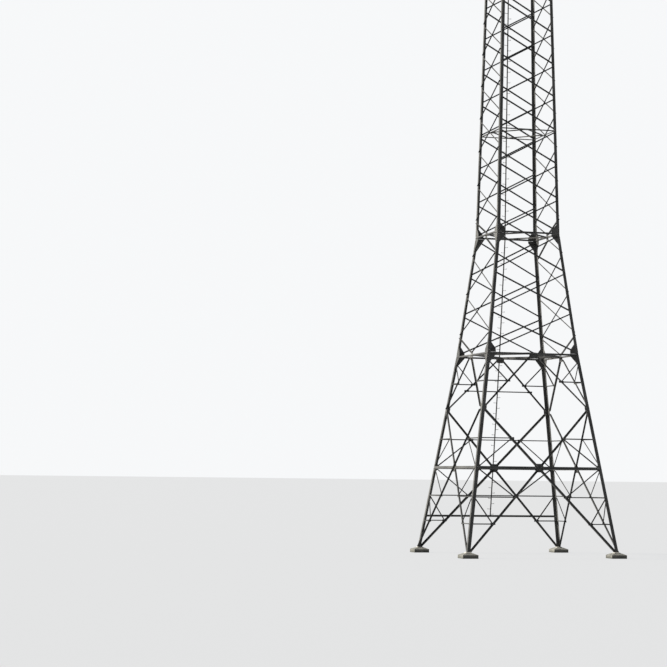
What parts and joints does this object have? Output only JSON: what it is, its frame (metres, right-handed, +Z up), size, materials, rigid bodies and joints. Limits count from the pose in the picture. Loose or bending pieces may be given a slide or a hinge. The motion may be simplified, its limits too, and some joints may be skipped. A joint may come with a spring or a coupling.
{
  "type": "lattice transmission pylon, 1:2 scale model",
  "caption": "Lattice steel transmission tower on spread legs with a braced foot, a slim laced shaft and one level of wide crossarms with hanging insulator strings; 1:2 scale model.",
  "frame": {"origin": "centre of the footprint, on the ground under the foundation caps", "axes": "+Z up the tower; +X along the crossarms to the right seen from the front; -Y towards the front face"},
  "size_m": [18.7356, 5.015, 22.575],
  "materials": {
    "leg_steel": "dull weathered galvanised steel, heavy sections",
    "brace_steel": "dull weathered galvanised steel, light sections",
    "ladder_steel": "dull galvanised steel, worn on the pegs",
    "insulator_glaze": "glossy brown glaze",
    "foundation_concrete": "rough cast concrete"
  },
  "bodies": {
    "root": {"foundation_cap_front_right": "foundation_concrete", "foundation_cap_back_right": "foundation_concrete", "foundation_cap_back_left": "foundation_concrete", "foundation_cap_front_left": "foundation_concrete", "leg_lower_front_right": "leg_steel", "leg_lower_back_right": "leg_steel", "leg_lower_back_left": "leg_steel", "leg_lower_front_left": "leg_steel", "leg_upper_front_right": "leg_steel", "leg_upper_back_right": "leg_steel", "leg_upper_back_left": "leg_steel", "leg_upper_front_left": "leg_steel", "great_brace_front_rising": "brace_steel", "great_brace_front_falling": "brace_steel", "great_brace_right_rising": "brace_steel", "great_brace_right_falling": "brace_steel", "great_brace_back_rising": "brace_steel", "great_brace_back_falling": "brace_steel", "great_brace_left_rising": "brace_steel", "great_brace_left_falling": "brace_steel", "belt_front": "leg_steel", "belt_right": "leg_steel", "belt_back": "leg_steel", "belt_left": "leg_steel", "middle_ties": "brace_steel", "apron_front": "brace_steel", "apron_right": "brace_steel", "apron_back": "brace_steel", "apron_left": "brace_steel", "lacing_front": "brace_steel", "lacing_right": "brace_steel", "lacing_back": "brace_steel", "lacing_left": "brace_steel", "knee_ring": "leg_steel", "waist_ring": "leg_steel", "collar_ring": "brace_steel", "ladder": "ladder_steel", "head_frame": "leg_steel", "crossarm_right_front": "leg_steel", "crossarm_right_back": "leg_steel", "crossarm_right_lacing": "brace_steel", "crossarm_left_front": "leg_steel", "crossarm_left_back": "leg_steel", "crossarm_left_lacing": "brace_steel", "insulators_right": "insulator_glaze", "insulators_left": "insulator_glaze"}
  },
  "joints": []
}
